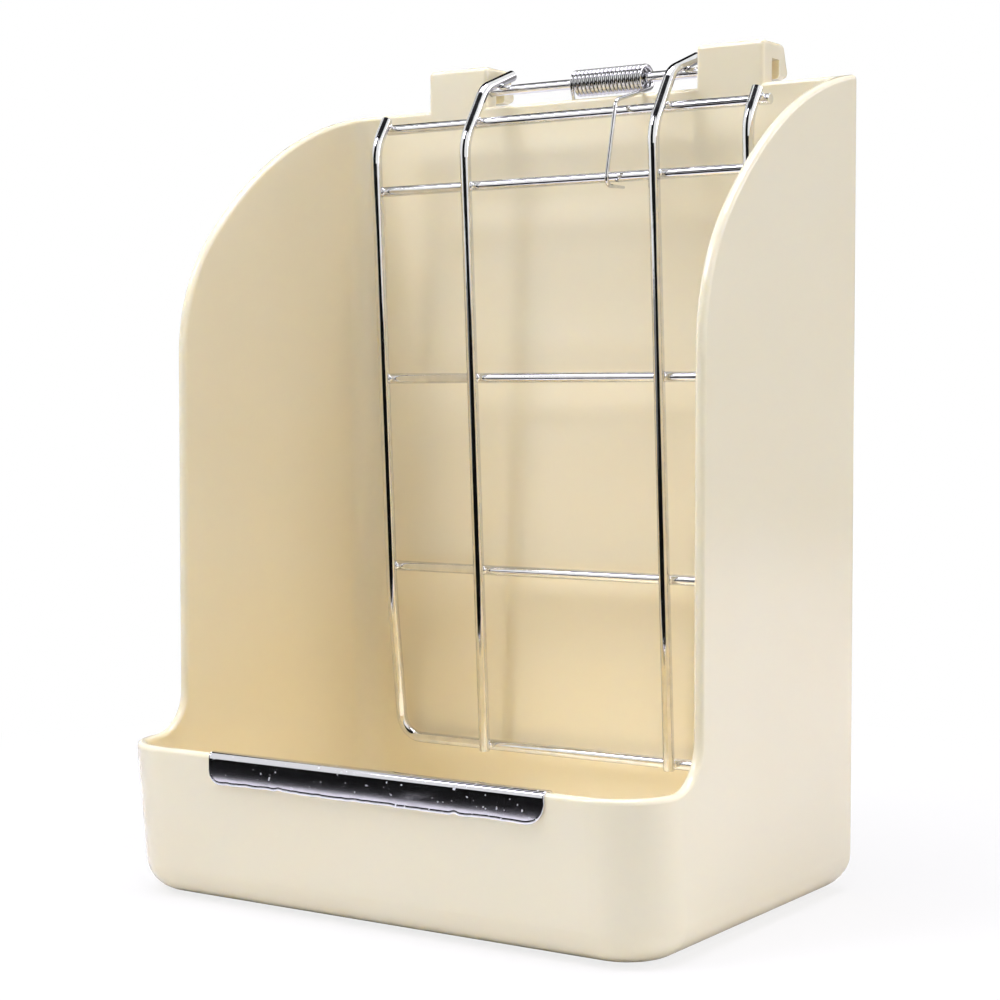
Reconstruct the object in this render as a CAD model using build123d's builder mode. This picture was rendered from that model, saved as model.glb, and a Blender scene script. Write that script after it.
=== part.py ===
"""Hay feeder box: a moulded trough with tall side walls, hooked onto a cage wire, and a
sprung wire grille that holds the hay against its back wall.

Millimetres.  +Z is up, the open front faces -Y, and X runs along the trough.
"""
from build123d import *
from math import cos, pi, radians, sin, sqrt, tan
import os

os.makedirs("parts", exist_ok=True)

# ---------------------------------------------------------------- driving dimensions
# moulded box
body_height = 215.0  # foot to the top edge of the back wall
body_width = 162.0  # across the upright sides
trough_depth = 104.5  # hay side of the back wall to the trough's front, at the foot
front_lean = 6.4  # degrees that the trough's front leans out towards the rim
wall = 2.8  # all walls and the floor
rim_height = 39.8  # top of the trough's front and side rims
front_corner = 16.5  # plan radius of the two front corners, outside
back_corner_inside = 8.0  # plan radius where back and side walls meet inside
back_corner_outside = 1.3  # same corner, outside
foot_round = 9.0  # rounding all round the foot, outside
edge_round = 1.2  # rounding of the rim and of every free wall edge

# side wall outline, seen from the side
cheek_setback = 27.0  # trough's front at the rim back to the side walls' upright front edges
sweep_overrun = 0.5  # the hollow below those edges runs this far into the front corners
brow_radius = 50.0  # tight arc above the upright front edge
brow_turn = 40.0  # degrees
crest_turn = 40.0  # degrees of the long arc from there to the hay side of the back wall
crest_overrun = 2.5  # degrees that it runs on, over the back wall's top edge

# hook blocks that hang the box on a cage wire
hook_gap = 68.8  # clear distance between the two blocks
hook_width = 20.4
hook_rise = 11.9  # above the back wall's top edge
hook_front_leg = 5.2  # leg that carries the axle
hook_slot = 4.5  # takes the cage wire
hook_slot_roof = 7.3  # above the back wall's top edge
hook_back_leg = 3.2  # at its top
hook_lip = 3.0  # flare of the back leg's tip
hook_lip_height = 3.4  # widest place of the lip, above the back wall's top edge
hook_tip_height = 2.2  # underside of the back leg, above the back wall's top edge
hook_root_drop = 3.0  # a block's foot reaches this far down behind the wall
hook_root_taper = 6.0  # and tapers into the wall over this height
hook_round = 1.5  # along the block's top
hook_side_round = 1.2  # round the outline of its two sides

# grille wires
wire = 3.2  # perimeter wire and inner wires
bar = 3.0  # cross bars
weld_sink = 0.15  # how deep crossing wires are welded into each other
grille_gap = 2.1  # bottom bar to the back wall, at rest
grille_lean = 3.32  # degrees that the grille leans out towards the top
inner_spacing = 61.1  # between the two inner wires
frame_spacing = 120.6  # between the legs of the perimeter wire
frame_shift = -1.5  # the perimeter wire sits this far off the centre
bottom_bar_height = 29.5
top_bar_below_top = 5.9  # under the back wall's top edge, as the next two
shoulder_below_top = 11.7  # the wires bend back towards the axle here
upper_bar_below_top = 24.1
# the other bars' share of the height from the bottom bar to the upper bar
bar_shares = {"upper": 1.0, "middle": 0.662, "lower": 0.318}
shoulder_slope = 57.7  # degrees above level
nape_slope = 20.3  # degrees above level where the inner wires lie on the axle
shoulder_bend = 14.0
nape_bend = 8.0
frame_corner_bend = 6.5  # centre-line radius of the perimeter wire's bottom corners
frame_knee_below_bar = 8.8  # under the lower bar its legs bend back behind the inner wires
frame_knee_bend = 150.0
leg_tip_past_bar = 1.6  # perimeter wire ends this far past the top cross bar
inner_tip_past_axle = 6.4  # inner wires end this far past the axle
bar_tip = 0.8  # cross bars end this far past the middle of the perimeter wire's legs
top_bar_stub = 3.2  # same, at the right end of the top cross bar
wire_end_chamfer = 0.25

# axle
axle = 2.8
axle_fit = 0.08  # radial running clearance in the hook blocks
axle_behind_face = 3.0  # axle centre behind the back wall's hay side
axle_above_wall = 4.85  # axle centre above the back wall's top edge
axle_seat = 6.5  # length of the axle inside each block
axle_end_play = 0.5

# torsion spring
spring_wire = 1.12
spring_wire_sides = 8  # the fine wire is drawn with flats
spring_pitch = 1.62
spring_full_turns = 14
spring_radius = 3.1  # centre line
spring_start = -6.2  # x of the coil's left end, on the wire's centre line
anchor_slant = 18.0  # degrees that the short leg leans back from upright
anchor_sink = 1.6  # how far the short leg reaches into the back wall's top edge
anchor_fit = 0.12  # radial clearance of its hole
reach_slope = 16.0  # degrees below level where the long leg leaves the coil
reach_ahead = 17.5  # long leg's elbow ahead of the axle
long_leg_slant = 10.0  # degrees that it leans out below the elbow
long_leg_drift = 0.8  # it drifts this far left on its way down
elbow_bend = 2.5
foot_bend = 1.5
foot_below_bar = 2.6  # spring's foot under the centre of the upper cross bar
foot_past_bar = 4.3  # and its end behind that centre
foot_rise = 2.0  # degrees that the foot tips up

# edge guard
guard_length = 101.0
guard_shift = 3.8  # pushed this far to the right of the middle
guard_sheet = 0.5
guard_fit = 0.04  # between the sheet and the rim it is clipped over
guard_front_flap = 8.2  # rim top down the outside
guard_back_flap = 5.5  # rim top down the inside
guard_left_corner = 3.5
guard_right_corner = 5.0

# ---------------------------------------------------------------- derived places
right_angle = 90
half_turn = 2 * right_angle
full_turn = 4 * right_angle
hook_depth = hook_front_leg + hook_slot + hook_back_leg + hook_lip
front_reach = trough_depth + tan(radians(front_lean)) * rim_height + guard_sheet
face_y = (front_reach - hook_depth) / 2  # hay side of the back wall; Y = 0 is mid-depth
hook_inner_x = hook_gap / 2
hook_middle_x = hook_inner_x + hook_width / 2
axle_y = face_y + axle_behind_face
axle_z = body_height + axle_above_wall
bottom_bar_y = face_y - grille_gap - wire / 2
inner_wire_y = bottom_bar_y - wire + weld_sink
inner_wire_xs = {"left": -inner_spacing / 2, "right": inner_spacing / 2}
frame_left_x = frame_shift - frame_spacing / 2
frame_right_x = frame_shift + frame_spacing / 2
bar_behind_wire = (wire + bar) / 2 - weld_sink
shoulder_height = body_height - shoulder_below_top
top_bar_height = body_height - top_bar_below_top
bar_span = body_height - upper_bar_below_top - bottom_bar_height
bar_heights = {name: bottom_bar_height + share * bar_span for name, share in bar_shares.items()}
frame_knee_height = bar_heights["lower"] - frame_knee_below_bar


def grille_y(height):
    """Centre line of the upright grille wires, below the shoulder."""
    return inner_wire_y - tan(radians(grille_lean)) * (height - bottom_bar_height)


def bar_y(height):
    """Centre line of a cross bar welded behind those wires."""
    return grille_y(height) + bar_behind_wire / cos(radians(grille_lean))


def heading(degrees_up, x=0.0):
    """Unit direction that runs backwards (+Y) and up at an angle."""
    return Vector(x, cos(radians(degrees_up)), sin(radians(degrees_up))).normalized()


def meeting(first, first_slope, second, second_slope):
    """Point where two lines in a plane of constant X cross."""
    along = heading(first_slope)
    other = heading(second_slope)
    apart = second - first
    reach = (apart.Y * other.Z - apart.Z * other.Y) / (along.Y * other.Z - along.Z * other.Y)
    return first + along * reach


# ---------------------------------------------------------------- wire-forming helpers
def bent_wire(corners, bends):
    """Centre line through the corners, with a round bend of its own at each inner corner."""
    with BuildLine() as centre_line:
        run_start = Vector(*corners[0])
        for before, corner, after, bend in zip(corners, corners[1:], corners[2:], bends):
            corner = Vector(*corner)
            inward = (corner - Vector(*before)).normalized()
            outward = (Vector(*after) - corner).normalized()
            half_bend = radians(inward.get_angle(outward)) / 2
            setback = bend * tan(half_bend)
            bulge = bend / cos(half_bend) - bend
            bend_start = corner - inward * setback
            bend_end = corner + outward * setback
            Line(run_start, bend_start)
            bend_middle = corner + (outward - inward).normalized() * bulge
            ThreePointArc(bend_start, bend_middle, bend_end)
            run_start = bend_end
        Line(run_start, Vector(*corners[-1]))
    return centre_line.line


def drawn_wire(centre_line, diameter):
    """Round wire along a centre line, with its two ends eased."""
    with BuildPart() as drawn:
        with BuildSketch(Plane(origin=centre_line @ 0, z_dir=centre_line % 0)):
            Circle(diameter / 2)
        sweep(path=centre_line)
        ends = drawn.faces().filter_by(GeomType.PLANE)
        chamfer(ends.edges(), length=wire_end_chamfer)
    return drawn


def save(builder, name):
    """Label a sub-part and write its STEP file."""
    builder.part.label = name
    export_step(builder.part, f"parts/{name}.step")
    print(f"{name}: {builder.part.volume:.0f} mm3")


# ---------------------------------------------------------------- grille
over_axle = heading(nape_slope + right_angle) * ((axle + wire) / 2 - weld_sink)
contact = Vector(0, axle_y, axle_z) + over_axle
shoulder = Vector(0, grille_y(shoulder_height), shoulder_height)
nape = meeting(shoulder, shoulder_slope, contact, nape_slope)
inner_tip = contact + heading(nape_slope) * inner_tip_past_axle
inner_foot_height = bottom_bar_height - wire / 2

for side, wire_x in inner_wire_xs.items():
    inner_line = bent_wire(
        [
            (wire_x, grille_y(inner_foot_height), inner_foot_height),
            (wire_x, shoulder.Y, shoulder.Z),
            (wire_x, nape.Y, nape.Z),
            (wire_x, inner_tip.Y, inner_tip.Z),
        ],
        [shoulder_bend, nape_bend],
    )
    save(drawn_wire(inner_line, wire), f"{side}_grille_wire")

# the top cross bar lies in the crook behind the slanted stretch of the wires
below_slant = heading(shoulder_slope - right_angle) * bar_behind_wire
slant_reach = (top_bar_height - shoulder.Z - below_slant.Z) / sin(radians(shoulder_slope))
top_bar_foot = shoulder + heading(shoulder_slope) * slant_reach
leg_tip = top_bar_foot + heading(shoulder_slope) * leg_tip_past_bar
frame_line = bent_wire(
    [
        (frame_left_x, leg_tip.Y, leg_tip.Z),
        (frame_left_x, shoulder.Y, shoulder.Z),
        (frame_left_x, grille_y(frame_knee_height), frame_knee_height),
        (frame_left_x, bottom_bar_y, bottom_bar_height),
        (frame_right_x, bottom_bar_y, bottom_bar_height),
        (frame_right_x, grille_y(frame_knee_height), frame_knee_height),
        (frame_right_x, shoulder.Y, shoulder.Z),
        (frame_right_x, leg_tip.Y, leg_tip.Z),
    ],
    [
        shoulder_bend,
        frame_knee_bend,
        frame_corner_bend,
        frame_corner_bend,
        frame_knee_bend,
        shoulder_bend,
    ],
)
save(drawn_wire(frame_line, wire), "perimeter_wire")


def cross_bar(centre_y, height, right_end):
    """Straight bar welded behind the upright wires."""
    with BuildLine() as bar_line:
        Line((frame_left_x - bar_tip, centre_y, height), (right_end, centre_y, height))
    return drawn_wire(bar_line.line, bar)


top_bar = top_bar_foot + below_slant
save(cross_bar(top_bar.Y, top_bar.Z, frame_right_x + top_bar_stub), "top_cross_bar")
for bar_name, bar_height in bar_heights.items():
    save(cross_bar(bar_y(bar_height), bar_height, frame_right_x + bar_tip), f"{bar_name}_cross_bar")

axle_reach = hook_inner_x + axle_seat
with BuildLine() as axle_line:
    Line((-axle_reach, axle_y, axle_z), (axle_reach, axle_y, axle_z))
save(drawn_wire(axle_line.line, axle), "axle_rod")

# ---------------------------------------------------------------- torsion spring
def coil_place(turned):
    """Point and forward direction on the coil, after a turn in degrees from its start."""
    around = radians(half_turn + anchor_slant - turned)
    x = spring_start + spring_pitch * turned / full_turn
    place = Vector(x, axle_y + spring_radius * cos(around), axle_z + spring_radius * sin(around))
    climb = spring_pitch / (2 * pi * spring_radius)
    return place, Vector(climb, sin(around), -cos(around)).normalized()


def biarc(start, start_way, end, end_way):
    """Two arcs that leave one place and reach another in the given directions."""
    chord = end - start
    ways = start_way + end_way
    spread = 2 * (1 - start_way.dot(end_way))
    lean_in = chord.dot(ways)
    arm = (sqrt(lean_in**2 + spread * chord.dot(chord)) - lean_in) / spread
    joint = (start + end + (start_way - end_way) * arm) * 0.5
    joint_way = (end - end_way * arm) - (start + start_way * arm)
    TangentArc(start, joint, tangent=start_way)
    TangentArc(joint, end, tangent=joint_way.normalized())


last_turn = half_turn + anchor_slant + right_angle - reach_slope
coil_turn = full_turn * spring_full_turns + last_turn
quarters = round(coil_turn / right_angle)
coil_stops = [coil_turn * step / quarters for step in range(quarters + 1)]
coil_nodes = [coil_place(turned) for turned in coil_stops]
# the two legs leave square to the axle
coil_nodes[0] = (coil_nodes[0][0], heading(right_angle + anchor_slant))
coil_nodes[-1] = (coil_nodes[-1][0], heading(half_turn + reach_slope))

coil_entry, entry_way = coil_nodes[0]
coil_exit, exit_way = coil_nodes[-1]
anchor_length = (coil_entry.Z - body_height + anchor_sink) / entry_way.Z
anchor_end = coil_entry - entry_way * anchor_length
elbow = coil_exit + exit_way * ((coil_exit.Y - axle_y + reach_ahead) / abs(exit_way.Y))
foot_height = bar_heights["upper"] - foot_below_bar
leg_drop = elbow.Z - foot_height
toe = Vector(elbow.X - long_leg_drift, elbow.Y - leg_drop * tan(radians(long_leg_slant)), foot_height)
foot_y = bar_y(bar_heights["upper"]) + foot_past_bar
foot_end = Vector(toe.X, foot_y, toe.Z + (foot_y - toe.Y) * tan(radians(foot_rise)))
long_leg = bent_wire([coil_exit, elbow, toe, foot_end], [elbow_bend, foot_bend])

with BuildLine() as coil_line:
    Line(anchor_end, coil_entry)
    for (start, start_way), (end, end_way) in zip(coil_nodes, coil_nodes[1:]):
        biarc(start, start_way, end, end_way)
    add(long_leg)
spring_line = coil_line.wire()

with BuildPart() as torsion_spring:
    with BuildSketch(Plane(origin=anchor_end, z_dir=entry_way)):
        RegularPolygon(spring_wire / 2, spring_wire_sides)
    sweep(path=spring_line)
save(torsion_spring, "torsion_spring")


def least_gap(line, diameter):
    """Least clear distance between stretches of a wire that lie over half a turn apart."""
    count = int(line.length / (diameter / 2))
    places = [line @ (step / count) for step in range(count + 1)]
    apart = int(pi * spring_radius / (line.length / count))
    nearest = min(
        (places[first] - places[second]).length
        for first in range(len(places))
        for second in range(first + apart, min(first + 4 * apart, len(places)))
    )
    return nearest - diameter


print(f"least gap of the spring to itself: {least_gap(spring_line, spring_wire):.3f} mm")

# ---------------------------------------------------------------- moulded box
def front_y(height):
    """Outside of the trough's leaning front."""
    return face_y - trough_depth - tan(radians(front_lean)) * height


def upright_edges(builder):
    """The straight edges of a block that stand more or less upright."""
    return [edge for edge in builder.edges() if abs(edge.tangent_at(0.5).Z) > 0.9]


def tub(floor, top, inset, rear_y, rear_corner, foot):
    """Solid block with the box's upright sides and leaning front, set in from its outside."""
    with BuildPart() as block:
        with BuildSketch(Plane.YZ):
            with BuildLine():
                Polyline(
                    (rear_y, floor),
                    (front_y(floor) + inset, floor),
                    (front_y(top) + inset, top),
                    (rear_y, top),
                    close=True,
                )
            make_face()
        extrude(amount=body_width / 2 - inset, both=True)
        corners = ShapeList(upright_edges(block)).sort_by(Axis.Y)
        fillet(corners[:2], radius=front_corner - inset)
        fillet(corners[2:], radius=rear_corner)
        fillet(block.faces().sort_by(Axis.Z)[0].edges(), radius=foot)
    return block.part


rear_y = face_y + wall
over_top = body_height + 2 * hook_rise
hay_space = tub(wall, over_top, wall, face_y, back_corner_inside, foot_round - wall)

# everything above and ahead of the side walls' outline, cut away right across the box
cheek_depth = front_reach - guard_sheet - cheek_setback
cheek_sweep = cheek_setback - front_corner + sweep_overrun
brow_run = brow_radius * (1 - cos(radians(brow_turn)))
brow_rise = brow_radius * sin(radians(brow_turn))
whole_turn = radians(brow_turn + crest_turn)
crest_radius = (cheek_depth - brow_run) / (cos(radians(brow_turn)) - cos(whole_turn))
crest_rise = crest_radius * (sin(whole_turn) - sin(radians(brow_turn)))
brow_start = (face_y - cheek_depth, body_height - crest_rise - brow_rise)
with BuildPart() as cut_away:
    with BuildSketch(Plane.YZ):
        with BuildLine() as side_outline:
            sweep_end = (face_y - cheek_depth, rim_height + cheek_sweep)
            sweep_start = (face_y - cheek_depth - cheek_sweep, rim_height)
            RadiusArc(sweep_start, sweep_end, -cheek_sweep)
            Line(sweep_end, brow_start)
            brow = JernArc(start=brow_start, tangent=(0, 1), radius=brow_radius, arc_size=-brow_turn)
            crest = JernArc(
                start=brow @ 1,
                tangent=brow % 1,
                radius=crest_radius,
                arc_size=-crest_turn - crest_overrun,
            )
            Polyline(
                crest @ 1,
                (rear_y + wall, over_top),
                (face_y - 2 * trough_depth, over_top),
                (face_y - 2 * trough_depth, rim_height),
                sweep_start,
            )
        make_face()
    extrude(amount=body_width, both=True)

# a pair of hook blocks stands on the back wall, flush with its hay side
hook_top = body_height + hook_rise
slot_start = face_y + hook_front_leg
slot_end = slot_start + hook_slot
hook_back = slot_end + hook_back_leg
with BuildPart() as hook_block:
    with BuildSketch(Plane.YZ):
        with BuildLine():
            Polyline(
                (face_y, body_height - hook_root_drop - hook_root_taper),
                (face_y, hook_top),
                (hook_back, hook_top),
                (hook_back + hook_lip, body_height + hook_lip_height),
                (hook_back, body_height + hook_tip_height),
                (slot_start, body_height + hook_tip_height),
                (slot_start, body_height - hook_root_drop),
                (rear_y, body_height - hook_root_drop - hook_root_taper),
                close=True,
            )
        make_face()
    extrude(amount=hook_width / 2, both=True)
    across = hook_block.edges().filter_by(Axis.X)
    fillet(across.group_by(Axis.Z)[-1], radius=hook_round)
    fillet(hook_block.edges().filter_by(Axis.X).sort_by(Axis.Y)[-1], radius=hook_round)
    side_faces = hook_block.faces().filter_by(Axis.X)
    hook_sides = side_faces.edges().filter_by(lambda edge: edge.center().Z > body_height)
    fillet(hook_sides, radius=hook_side_round)
    with BuildSketch(Plane.YZ):
        with BuildLine():
            Polyline(
                (slot_start, body_height),
                (slot_end, body_height),
                (slot_end, body_height + hook_slot_roof),
                (slot_start, body_height + hook_slot_roof),
                close=True,
            )
        make_face()
    extrude(amount=hook_width, both=True, mode=Mode.SUBTRACT)

with BuildPart() as feeder_body:
    add(tub(0, over_top, 0, rear_y, back_corner_outside, foot_round))
    add(hay_space, mode=Mode.SUBTRACT)
    add(cut_away.part, mode=Mode.SUBTRACT)
    cut_edges = [
        edge
        for edge in feeder_body.edges(Select.LAST)
        if edge.bounding_box().min.Z > rim_height - edge_round
    ]
    creases = [
        edge
        for edge in cut_edges
        if abs(edge.tangent_at(0.5).X) > 0.99 and edge.length < front_corner
    ]
    fillet([edge for edge in cut_edges if edge not in creases], radius=edge_round)
    with Locations((-hook_middle_x, 0, 0), (hook_middle_x, 0, 0)):
        add(hook_block.part)
    # a blind hole in each block for the axle
    with BuildSketch(Plane.YZ):
        with Locations((axle_y, axle_z)):
            Circle(axle / 2 + axle_fit)
    extrude(amount=axle_reach + axle_end_play, both=True, mode=Mode.SUBTRACT)
    # a slanted hole in the top edge for the spring's short leg
    with BuildSketch(Plane(origin=anchor_end, z_dir=entry_way)):
        Circle(spring_wire / 2 + anchor_fit)
    extrude(amount=anchor_length, mode=Mode.SUBTRACT)
save(feeder_body, "feeder_body")

# ---------------------------------------------------------------- edge guard
def rim_wrap(grip, front_flap, back_flap):
    """Section round the trough's front rim, a grip away from it, with its top corners round."""
    crown = rim_height + grip
    front_low = crown - front_flap
    back_low = crown - back_flap
    with BuildSketch(Plane.YZ) as wrap:
        with BuildLine():
            Polyline(
                (front_y(front_low) - grip, front_low),
                (front_y(crown) - grip, crown),
                (front_y(crown) + wall + grip, crown),
                (front_y(back_low) + wall + grip, back_low),
                close=True,
            )
        make_face()
        fillet(wrap.vertices().group_by(Axis.Y)[-1], radius=edge_round + grip)
    return wrap.sketch_local


guard_top = rim_height + guard_fit + guard_sheet
with BuildPart() as edge_guard:
    with BuildSketch(Plane.YZ.offset(guard_shift)):
        add(rim_wrap(guard_fit + guard_sheet, 2 * guard_front_flap, guard_back_flap))
        add(rim_wrap(guard_fit, 3 * guard_front_flap, 3 * guard_front_flap), mode=Mode.SUBTRACT)
    extrude(amount=guard_length / 2, both=True)
    # the sheet's outline seen from the front, with its two lower corners round
    with BuildSketch(Plane.XZ) as guard_outline:
        with Locations((guard_shift, guard_top)):
            Rectangle(guard_length, guard_front_flap, align=(Align.CENTER, Align.MAX))
        lower_corners = guard_outline.vertices().group_by(Axis.Y)[0].sort_by(Axis.X)
        fillet(lower_corners[0], radius=guard_left_corner)
        lower_corners = guard_outline.vertices().group_by(Axis.Y)[0].sort_by(Axis.X)
        fillet(lower_corners[-1], radius=guard_right_corner)
    extrude(amount=trough_depth, both=True, mode=Mode.INTERSECT)
save(edge_guard, "edge_guard")
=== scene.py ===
"""Looks of the hay feeder box: glossy cream moulding, chromed wire grille, bright torsion
spring and a worn steel guard clipped over the trough's rim.

Metres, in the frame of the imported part: +Z up, the open front faces -Y.
"""
from math import cos, pi, radians, sin, tan

import bpy
import numpy as np
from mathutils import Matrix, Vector, noise


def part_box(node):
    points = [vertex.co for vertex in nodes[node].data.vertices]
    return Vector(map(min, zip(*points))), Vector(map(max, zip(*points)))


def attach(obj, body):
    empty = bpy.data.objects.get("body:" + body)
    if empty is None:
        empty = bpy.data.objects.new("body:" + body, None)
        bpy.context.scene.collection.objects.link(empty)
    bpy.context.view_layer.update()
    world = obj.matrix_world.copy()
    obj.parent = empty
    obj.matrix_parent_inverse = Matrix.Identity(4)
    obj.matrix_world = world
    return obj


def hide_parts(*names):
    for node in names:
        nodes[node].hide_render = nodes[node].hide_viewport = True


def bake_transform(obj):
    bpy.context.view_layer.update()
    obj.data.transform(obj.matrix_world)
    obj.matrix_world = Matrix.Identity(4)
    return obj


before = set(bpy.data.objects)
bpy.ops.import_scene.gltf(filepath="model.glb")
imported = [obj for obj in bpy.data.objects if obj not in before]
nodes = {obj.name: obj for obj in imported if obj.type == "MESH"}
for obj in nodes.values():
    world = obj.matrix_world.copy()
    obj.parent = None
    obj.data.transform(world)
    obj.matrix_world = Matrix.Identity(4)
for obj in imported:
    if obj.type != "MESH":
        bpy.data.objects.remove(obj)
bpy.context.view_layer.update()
MM = 0.001

# ---------------------------------------------------------------- places read from the frame
axle_low, axle_high = (Vector(corner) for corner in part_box("axle_rod"))
axle = (axle_low + axle_high) / 2
body_low, body_high = (Vector(corner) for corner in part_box("feeder_body"))
guard_low, guard_high = (Vector(corner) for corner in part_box("edge_guard"))
spring_low, spring_high = (Vector(corner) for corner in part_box("torsion_spring"))
FACE_Y = axle.y - 3.0 * MM  # hay side of the back wall


# ---------------------------------------------------------------- node helpers
class Shader:
    """A material's node tree, with short ways to add and link nodes."""

    def __init__(self, name):
        self.material = bpy.data.materials.new(name)
        self.material.use_nodes = True
        self.tree = self.material.node_tree
        self.tree.nodes.clear()
        self.output = self.add("ShaderNodeOutputMaterial")

    def add(self, kind, **settings):
        node = self.tree.nodes.new(kind)
        for key, value in settings.items():
            setattr(node, key, value)
        return node

    def link(self, start, end):
        self.tree.links.new(start, end)

    def principled(self, **sockets):
        shader = self.add("ShaderNodeBsdfPrincipled")
        for key, value in sockets.items():
            shader.inputs[key.replace("_", " ")].default_value = value
        self.link(shader.outputs[0], self.output.inputs["Surface"])
        return shader

    def noise(self, scale, detail=3.0, stretch=(1, 1, 1), roughness=0.5):
        """Noise over the object's own coordinates."""
        coordinates = self.add("ShaderNodeTexCoord")
        mapping = self.add("ShaderNodeMapping")
        mapping.inputs["Scale"].default_value = stretch
        self.link(coordinates.outputs["Object"], mapping.inputs["Vector"])
        texture = self.add("ShaderNodeTexNoise")
        texture.inputs["Scale"].default_value = scale
        texture.inputs["Detail"].default_value = detail
        texture.inputs["Roughness"].default_value = roughness
        self.link(mapping.outputs[0], texture.inputs["Vector"])
        return texture.outputs["Fac"]

    def spread(self, value, from_low, from_high, to_low, to_high):
        """Remap a value from one range to another, clamped."""
        remap = self.add("ShaderNodeMapRange")
        for key, number in zip(("From Min", "From Max", "To Min", "To Max"), (from_low, from_high, to_low, to_high)):
            remap.inputs[key].default_value = number
        self.link(value, remap.inputs["Value"])
        return remap.outputs[0]

    def tint(self, value, low_colour, high_colour):
        """Colour between two ends."""
        ramp = self.add("ShaderNodeMix", data_type="RGBA")
        ramp.inputs[6].default_value = (*low_colour, 1)
        ramp.inputs[7].default_value = (*high_colour, 1)
        self.link(value, ramp.inputs[0])
        return ramp.outputs[2]

    def bump(self, shader, height, distance, strength=1.0):
        node = self.add("ShaderNodeBump")
        node.inputs["Distance"].default_value = distance
        node.inputs["Strength"].default_value = strength
        self.link(height, node.inputs["Height"])
        self.link(node.outputs[0], shader.inputs["Normal"])


def cream_plastic():
    """Glossy cream moulding: slight mottling, a faint swirl in the gloss and a soft waviness."""
    look = Shader("cream_plastic")
    shader = look.principled(
        IOR=1.49,
        Specular_IOR_Level=0.7,
        Subsurface_Weight=1.0,
        Subsurface_Radius=(1.0, 0.94, 0.8),
        Subsurface_Scale=0.0007,
    )
    mottle = look.noise(14.0, 2.0)
    colour = look.tint(look.spread(mottle, 0.3, 0.7, 0, 1), (0.978, 0.866, 0.632), (0.988, 0.880, 0.656))
    look.link(colour, shader.inputs["Base Color"])
    look.link(look.spread(look.noise(30.0, 4.0), 0.3, 0.7, 0.12, 0.18), shader.inputs["Roughness"])
    look.bump(shader, look.noise(45.0, 1.0), 0.00006, 0.5)
    return look.material


def chrome(name, tint, rough_low, rough_high):
    """Bright plating with a faint drawn grain and tiny pits."""
    look = Shader(name)
    shader = look.principled(Metallic=1.0)
    grain = look.noise(260.0, 3.0)
    look.link(look.tint(look.spread(grain, 0.35, 0.65, 0, 1), tint[0], tint[1]), shader.inputs["Base Color"])
    look.link(look.spread(grain, 0.3, 0.7, rough_low, rough_high), shader.inputs["Roughness"])
    look.bump(shader, look.noise(420.0, 2.0), 0.00002, 0.35)
    return look.material


def worn_steel():
    """Bright rolled sheet, mirror-like, with a few dull specks and rubbed patches."""
    look = Shader("guard_steel")
    shader = look.principled(Metallic=1.0)
    specks = look.spread(look.noise(1100.0, 1.0), 0.715, 0.745, 0, 1)
    rub = look.spread(look.noise(120.0, 6.0, stretch=(0.4, 1, 1), roughness=0.65), 0.60, 0.78, 0, 1)
    dull = look.add("ShaderNodeMath", operation="MAXIMUM")
    look.link(specks, dull.inputs[0])
    look.link(look.spread(rub, 0, 1, 0, 0.14), dull.inputs[1])
    look.link(look.tint(dull.outputs[0], (0.70, 0.70, 0.73), (0.86, 0.88, 0.92)), shader.inputs["Base Color"])
    look.link(look.spread(dull.outputs[0], 0, 1, 0.05, 0.55), shader.inputs["Roughness"])
    look.bump(shader, look.noise(160.0, 3.0, stretch=(0.4, 1, 1)), 0.00001, 0.4)
    return look.material


plastic = cream_plastic()
wire_chrome = chrome("chrome_wire", ((0.74, 0.74, 0.75), (0.82, 0.82, 0.83)), 0.04, 0.10)
spring_chrome = chrome("spring_steel", ((0.62, 0.62, 0.63), (0.72, 0.72, 0.73)), 0.04, 0.08)
steel = worn_steel()

MATERIALS = {"feeder_body": plastic, "edge_guard": steel, "torsion_spring": spring_chrome}
for name, node in nodes.items():
    node.data.materials.clear()
    node.data.materials.append(MATERIALS.get(name, wire_chrome))
    for polygon in node.data.polygons:
        polygon.use_smooth = True


# ---------------------------------------------------------------- mesh helpers
def mesh_piece(name, places, faces, material):
    """Smooth-shaded mesh object with one material."""
    mesh = bpy.data.meshes.new(name)
    mesh.from_pydata([tuple(place) for place in places], [], faces)
    mesh.update()
    mesh.materials.append(material)
    for polygon in mesh.polygons:
        polygon.use_smooth = True
    piece = bpy.data.objects.new(name, mesh)
    bpy.context.collection.objects.link(piece)
    return piece


def grid_faces(rows, columns, closed):
    """Quads between rows of points; closed joins each row's last point to its first."""
    last = columns if closed else columns - 1
    return [
        (
            row * columns + column,
            row * columns + (column + 1) % columns,
            (row + 1) * columns + (column + 1) % columns,
            (row + 1) * columns + column,
        )
        for row in range(rows - 1)
        for column in range(last)
    ]


def tube(name, path, radius, material, sides=14):
    """Round wire along a path, with eased ends."""
    path = [Vector(place) for place in path]
    ways = [(after - before).normalized() for before, after in zip(path, path[1:])]
    ways = [ways[0]] + [(one + other).normalized() for one, other in zip(ways, ways[1:])] + [ways[-1]]
    across = ways[0].orthogonal().normalized()
    rings = []
    for index, (place, way) in enumerate(zip(path, ways)):
        across = (across - way * across.dot(way)).normalized()
        beside = way.cross(across)
        shrink = 0.7 if index in (0, len(path) - 1) else 1.0
        rings += [
            place + (across * cos(angle) + beside * sin(angle)) * radius * shrink
            for angle in (2 * pi * step / sides for step in range(sides))
        ]
    faces = grid_faces(len(path), sides, closed=True)
    faces.append(tuple(reversed(range(sides))))
    faces.append(tuple(range(len(rings) - sides, len(rings))))
    return mesh_piece(name, rings, faces, material)


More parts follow.
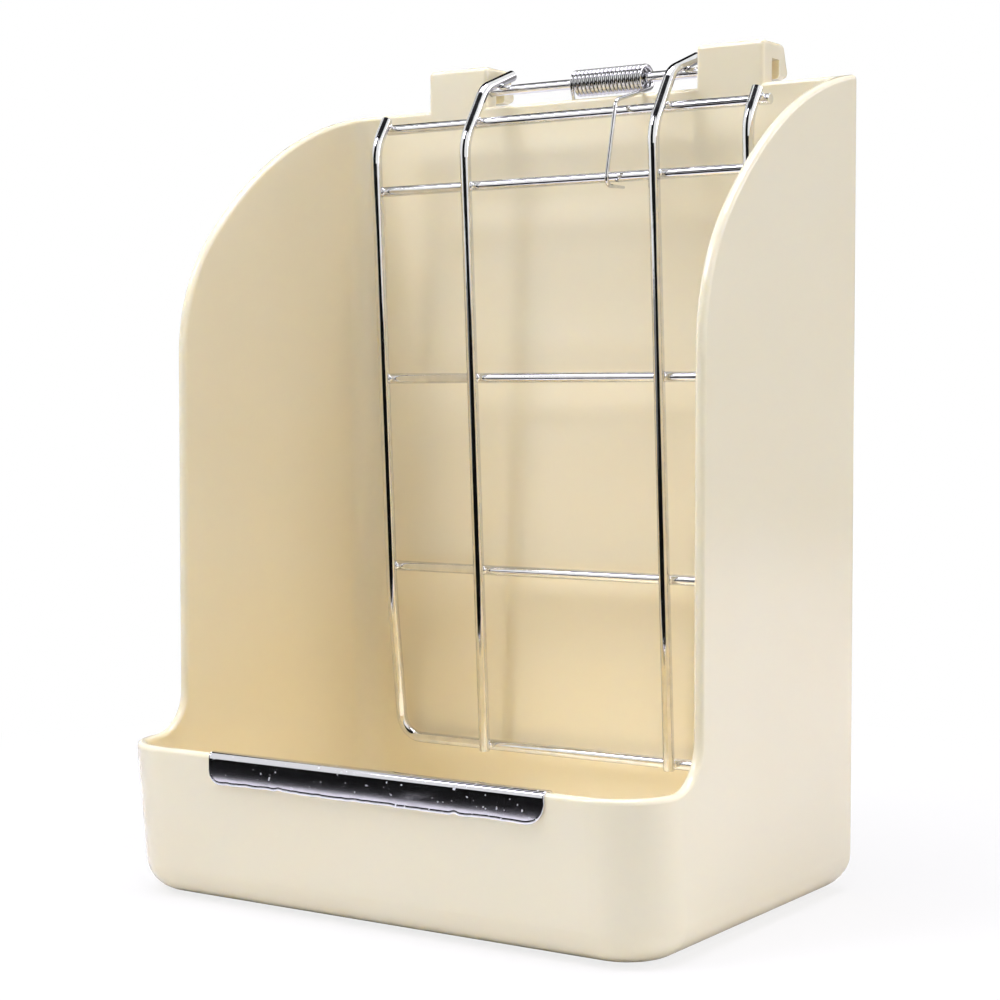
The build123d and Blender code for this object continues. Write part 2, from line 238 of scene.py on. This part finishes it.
def rounded_path(corners, bends, steps=7):
    """Points along straight runs joined by round bends."""
    places = [corners[0]]
    for before, corner, after, bend in zip(corners, corners[1:], corners[2:], bends):
        inward = (corner - before).normalized()
        outward = (after - corner).normalized()
        half_bend = inward.angle(outward) / 2
        centre = corner + (outward - inward).normalized() * (bend / cos(half_bend))
        first = (corner - inward * bend * tan(half_bend) - centre).normalized()
        last = (corner + outward * bend * tan(half_bend) - centre).normalized()
        for step in range(steps + 1):
            places.append(centre + first.slerp(last, step / steps) * bend)
    places.append(corners[-1])
    return places


# ---------------------------------------------------------------- torsion spring
SPRING_WIRE = 1.15 * MM
COIL_RADIUS = 3.2 * MM
COIL_PITCH = 1.295 * MM
COIL_START_X = -5.3 * MM
ANCHOR_SLANT = radians(18)
COIL_TURNS = 17 + (180 + 18 + 90 - 16) / 360
LEG_SLOPE = radians(16)
SAMPLES_PER_TURN = 30


def level_way(slope):
    """Unit direction that runs backwards and up at an angle."""
    return Vector((0, cos(slope), sin(slope)))


def coil_place(turned):
    """Point on the coil's centre line after some turns from its left end."""
    around = pi + ANCHOR_SLANT - 2 * pi * turned
    x = COIL_START_X + COIL_PITCH * turned
    return Vector((x, axle.y + COIL_RADIUS * cos(around), axle.z + COIL_RADIUS * sin(around)))


def spring_path():
    """Short leg into the wall's top edge, the coil, and the long leg hooked under the upper bar."""
    bar_low, bar_high = (Vector(corner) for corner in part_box("upper_cross_bar"))
    bar = (bar_low + bar_high) / 2
    count = round(COIL_TURNS * SAMPLES_PER_TURN)
    coil = [coil_place(COIL_TURNS * step / count) for step in range(count + 1)]
    anchor = coil[0] - level_way(pi / 2 + ANCHOR_SLANT) * 5.6 * MM
    leaving = level_way(pi + LEG_SLOPE)
    elbow = coil[-1] + leaving * ((coil[-1].y - axle.y + 17.5 * MM) / -leaving.y)
    toe = Vector((elbow.x - 0.8 * MM, elbow.y, bar.z - 2.75 * MM))
    toe.y -= (elbow.z - toe.z) * tan(radians(10))
    foot = Vector((toe.x, bar.y + 4.3 * MM, toe.z + 0.25 * MM))
    leg = rounded_path([coil[-1], elbow, toe, foot], [2.5 * MM, 2.2 * MM])
    return [anchor] + coil + leg[1:]


spring = tube("spring_coil", spring_path(), SPRING_WIRE / 2, spring_chrome)
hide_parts("torsion_spring")
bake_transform(spring)

# ---------------------------------------------------------------- edge guard
SHEET = 0.5 * MM
RIM_WALL = 2.8 * MM
RIM_BEND = 1.45 * MM  # sheet's middle round the rim's top corners
FLAP_LEAN = radians(0.3)  # the loose flap stands more upright than the trough's front
FLAP_INSET = 0.1 * MM  # leaves room for the burr on the flap's lower edge
GUARD_COLUMNS = 260
FLAP_ROWS = 14


def corner_lift(x):
    """How far the flap's lower edge rises near its two rounded ends."""
    for end, radius, inward in ((guard_low.x, 3.5 * MM, 1), (guard_high.x, 5.0 * MM, -1)):
        reach = radius - (x - end) * inward
        if 0 < reach:
            return radius - (radius**2 - min(reach, radius) ** 2) ** 0.5
    return 0.0


def ragged(x):
    """Small unevenness of the sheared lower edge."""
    slow = noise.noise(Vector((x * 60, 0.3, 0))) * 0.24
    fine = noise.noise(Vector((x * 420, 1.7, 0))) * 0.22
    nick = max(0.0, noise.noise(Vector((x * 190, 4.1, 0))) - 0.36) * 1.8
    return (slow + fine + nick) * MM


def guard_section(x):
    """Middle of the sheet from the front flap's lower edge, over the rim, to the back flap's."""
    top = guard_high.z - SHEET / 2
    front = guard_low.y + SHEET / 2 + FLAP_INSET
    back = guard_high.y - SHEET / 2
    low = guard_low.z + corner_lift(x) + max(0.0, ragged(x) + 0.1 * MM)
    back_low = max(guard_high.z - 5.5 * MM, low)
    points = []
    for row in range(FLAP_ROWS):
        share = row / FLAP_ROWS
        height = low + (top - RIM_BEND - low) * share
        burr = max(0.0, 1 - (height - low) / (0.5 * MM)) ** 2 * 0.12 * MM
        points.append(Vector((x, front + (top - height) * tan(FLAP_LEAN) - burr, height)))
    for step in range(9):
        angle = pi / 2 * step / 8
        points.append(Vector((x, front + RIM_BEND * (1 - cos(angle)), top - RIM_BEND * (1 - sin(angle)))))
    for step in range(9):
        angle = pi / 2 * step / 8
        points.append(Vector((x, back - RIM_BEND * (1 - sin(angle)), top - RIM_BEND * (1 - cos(angle)))))
    for row in range(1, FLAP_ROWS):
        share = row / (FLAP_ROWS - 1)
        points.append(Vector((x, back, top - RIM_BEND + (back_low - top + RIM_BEND) * share)))
    return points


def sheet_faces(x):
    """Outer and inner side of the sheet at one place along its length, as one closed ring."""
    middle = guard_section(x)
    normals = []
    for before, after in zip([middle[0]] + middle, middle[1:] + [middle[-1]]):
        along = (after - before).normalized()
        normals.append(Vector((0, -along.z, along.y)))
    outer = [place + normal * SHEET / 2 for place, normal in zip(middle, normals)]
    inner = [place - normal * SHEET / 2 for place, normal in zip(middle, normals)]
    return outer + inner[::-1]


def guard_piece():
    """The whole guard, closed at its two ends."""
    length = guard_high.x - guard_low.x
    rings = [sheet_faces(guard_low.x + length * step / GUARD_COLUMNS) for step in range(GUARD_COLUMNS + 1)]
    size = len(rings[0])
    faces = grid_faces(len(rings), size, closed=True)
    for base in (0, GUARD_COLUMNS * size):
        for step in range(size // 2 - 1):
            faces.append((base + step, base + step + 1, base + size - 2 - step, base + size - 1 - step))
    return mesh_piece("guard_sheet", [place for ring in rings for place in ring], faces, steel)


guard = guard_piece()
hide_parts("edge_guard")
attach(guard, "box")


# ---------------------------------------------------------------- weld beads
def bead(place, half_sizes, seed):
    """Small uneven lump of weld."""
    places, faces = [], []
    rows, columns = 7, 12
    for row in range(rows):
        polar = pi * (row + 0.5) / rows
        for column in range(columns):
            around = 2 * pi * column / columns
            way = Vector((sin(polar) * cos(around), sin(polar) * sin(around), cos(polar)))
            swell = 1 + 0.18 * noise.noise(way * 1.7 + Vector((seed, 0, 0)))
            places.append(place + Vector(way[axis] * half_sizes[axis] * swell for axis in range(3)))
    faces = grid_faces(rows, columns, closed=True)
    faces.append(tuple(range(columns)))
    faces.append(tuple(reversed(range((rows - 1) * columns, rows * columns))))
    return places, faces


def crossing_places():
    """Where the upright wires meet the bars and the bottom run."""
    frame_low, frame_high = (Vector(corner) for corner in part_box("perimeter_wire"))
    wire_xs = {"left_end": frame_low.x + 1.6 * MM, "right_end": frame_high.x - 1.6 * MM}
    for side in ("left", "right"):
        low, high = (Vector(corner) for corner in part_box(f"{side}_grille_wire"))
        wire_xs[side] = (low.x + high.x) / 2
    for bar in ("top", "upper", "middle", "lower"):
        low, high = (Vector(corner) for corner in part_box(f"{bar}_cross_bar"))
        for x in wire_xs.values():
            slant = radians(32) if bar == "top" else 0.0
            reach = (high.z - low.z) / 2
            centre = (low + high) / 2
            yield Vector((x, centre.y - reach * cos(slant), centre.z + reach * sin(slant)))
    for side in ("left", "right"):
        yield Vector((wire_xs[side], frame_high.y - 3.2 * MM, frame_low.z + 1.6 * MM))


beads, bead_faces = [], []
for seed, crossing in enumerate(crossing_places()):
    lump, lump_faces = bead(crossing, (2.0 * MM, 0.85 * MM, 1.1 * MM), seed * 3.1)
    bead_faces += [tuple(index + len(beads) for index in face) for face in lump_faces]
    beads += lump
welds = mesh_piece("weld_beads", beads, bead_faces, wire_chrome)
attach(welds, "grille")

# ---------------------------------------------------------------- camera
CAMERA_AT = Vector((0.3159, FACE_Y - 0.52434, 0.13062))
camera_data = bpy.data.cameras.new("camera")
camera_data.lens = 77.52
camera_data.sensor_width = 36.0
camera_data.clip_start = 0.01
camera = bpy.data.objects.new("camera", camera_data)
camera.location = CAMERA_AT
camera.rotation_euler = (radians(90 - 2.713), 0, radians(33.383))
bpy.context.collection.objects.link(camera)
bpy.context.scene.camera = camera
bpy.context.scene.view_settings.view_transform = "Standard"


# ---------------------------------------------------------------- floor, world and lamps
AMBIENT = 0.01
COOL = (1.0, 0.965, 1.09)
WARM = (1.0, 0.94, 1.03)
LAMPS = {  # place, size, power, colour and whether mirrors see it
    "top": ((0.0, -0.1, 1.3), (0.9, 0.9), 17.7, COOL, True),
    "left_front": ((-0.5, -0.7, 1.1), (0.5, 0.5), 6.9, COOL, True),
    "left_low": ((-0.7, -1.2, 0.25), (0.5, 0.5), 0.6, COOL, False),
    "right": ((1.29, 0.18, 0.5), (0.7, 0.7), 2.9, WARM, True),
    "right_back": ((1.0, 0.85, 0.5), (0.7, 0.7), 5.1, WARM, True),
}


def white_to_the_eye(tree, plain_shader, output):
    """White for camera, mirror and glass rays; the plain shader for all others."""
    path = tree.nodes.new("ShaderNodeLightPath")
    first = tree.nodes.new("ShaderNodeMath")
    first.operation = "MAXIMUM"
    tree.links.new(path.outputs["Is Camera Ray"], first.inputs[0])
    tree.links.new(path.outputs["Is Glossy Ray"], first.inputs[1])
    second = tree.nodes.new("ShaderNodeMath")
    second.operation = "MAXIMUM"
    tree.links.new(first.outputs[0], second.inputs[0])
    tree.links.new(path.outputs["Is Transmission Ray"], second.inputs[1])
    mix = tree.nodes.new("ShaderNodeMixShader")
    tree.links.new(second.outputs[0], mix.inputs[0])
    tree.links.new(plain_shader.outputs[0], mix.inputs[1])
    return path, second, mix


world = bpy.data.worlds.new("studio")
bpy.context.scene.world = world
world.use_nodes = True
world.node_tree.nodes.clear()
ambient = world.node_tree.nodes.new("ShaderNodeBackground")
ambient.inputs["Color"].default_value = (1, 1, 1, 1)
ambient.inputs["Strength"].default_value = AMBIENT
backdrop = world.node_tree.nodes.new("ShaderNodeBackground")
backdrop.inputs["Color"].default_value = (1, 1, 1, 1)
backdrop.inputs["Strength"].default_value = 1.0
world_output = world.node_tree.nodes.new("ShaderNodeOutputWorld")
_, _, world_mix = white_to_the_eye(world.node_tree, ambient, world_output)
world.node_tree.links.new(backdrop.outputs[0], world_mix.inputs[2])
world.node_tree.links.new(world_mix.outputs[0], world_output.inputs["Surface"])


def paper():
    """Pale floor: it takes the object's shadow, and reads white to the eye."""
    look = Shader("paper")
    lit = look.add("ShaderNodeBsdfDiffuse")
    grain = look.noise(60.0, 2.0)
    look.link(look.tint(grain, (0.86, 0.86, 0.86), (0.88, 0.88, 0.88)), lit.inputs["Color"])
    glow = look.add("ShaderNodeEmission")
    glow.inputs["Strength"].default_value = 1.0
    path = look.add("ShaderNodeLightPath")
    place = look.add("ShaderNodeTexCoord")
    apart = look.add("ShaderNodeVectorMath", operation="LENGTH")
    look.link(place.outputs["Object"], apart.inputs[0])
    share = look.add("ShaderNodeMath", operation="MULTIPLY")
    look.link(path.outputs["Is Camera Ray"], share.inputs[0])
    look.link(look.spread(apart.outputs["Value"], 0.13, 0.32, 0.8, 1.0), share.inputs[1])
    mix = look.add("ShaderNodeMixShader")
    look.link(share.outputs[0], mix.inputs[0])
    look.link(lit.outputs[0], mix.inputs[1])
    look.link(glow.outputs[0], mix.inputs[2])
    look.link(mix.outputs[0], look.output.inputs["Surface"])
    return look.material


bpy.ops.mesh.primitive_plane_add(size=6.0, location=(0, 0, -0.0004))
floor = bpy.context.object
floor.name = "floor"
floor.data.materials.append(paper())


def softbox(name, place, aim, size, power, colour, mirrored):
    """Square area lamp that looks at a point."""
    data = bpy.data.lights.new(name, "AREA")
    data.shape = "RECTANGLE"
    data.size, data.size_y = size
    data.energy = power
    data.color = colour
    lamp = bpy.data.objects.new(name, data)
    lamp.location = place
    lamp.visible_glossy = mirrored
    lamp.rotation_euler = (Vector(aim) - Vector(place)).to_track_quat("-Z", "Y").to_euler()
    bpy.context.collection.objects.link(lamp)
    return lamp


MIDDLE = (0, 0, 0.11)
for lamp_name, (lamp_place, *lamp_settings) in LAMPS.items():
    softbox(lamp_name, lamp_place, MIDDLE, *lamp_settings)


def dark_card(name, place, turn, size, shade):
    """Panel that only mirrors see, for the dark streaks on the chrome."""
    bpy.ops.mesh.primitive_plane_add(size=1.0, location=place)
    card = bpy.context.object
    card.name = name
    card.scale = (*size, 1)
    card.rotation_euler = [radians(angle) for angle in turn]
    for ray in ("camera", "diffuse", "shadow", "transmission", "volume_scatter"):
        setattr(card, f"visible_{ray}", False)
    look = Shader(name)
    glow = look.add("ShaderNodeEmission")
    glow.inputs["Strength"].default_value = 1.0
    dark, light = (shade * 0.7,) * 3, (shade * 1.3,) * 3
    look.link(look.tint(look.noise(3.0, 1.0), dark, light), glow.inputs["Color"])
    look.link(glow.outputs[0], look.output.inputs["Surface"])
    card.data.materials.append(look.material)


dark_card("far_table", (0.0, -1.65, 0.0003), (0, 0, 0), (6.0, 2.9), 0.004)
dark_card("far_wall", (1.1, -3.1, 0.17), (90, 0, 0), (3.8, 0.34), 0.004)
dark_card("far_left", (-1.9, -1.9, 0.0006), (0, 0, 0), (3.0, 2.5), 0.25)
dark_card("far_column", (-0.255, -3.0, 2.3), (90, 0, 0), (2.81, 4.4), 0.01)
dark_card("ceiling", (0.0, -0.36, 1.0), (0, 0, 0), (1.4, 0.42), 0.01)
dark_card("back_ceiling", (-0.675, 0.74, 1.0), (0, 0, 0), (1.25, 1.32), 0.01)
dark_card("far_back", (-0.35, 1.4, 0.62), (90, 0, 0), (2.5, 0.9), 0.01)
dark_card("grey_back", (0.9, 1.0, 0.42), (90, 0, -45), (1.6, 0.8), 0.3)
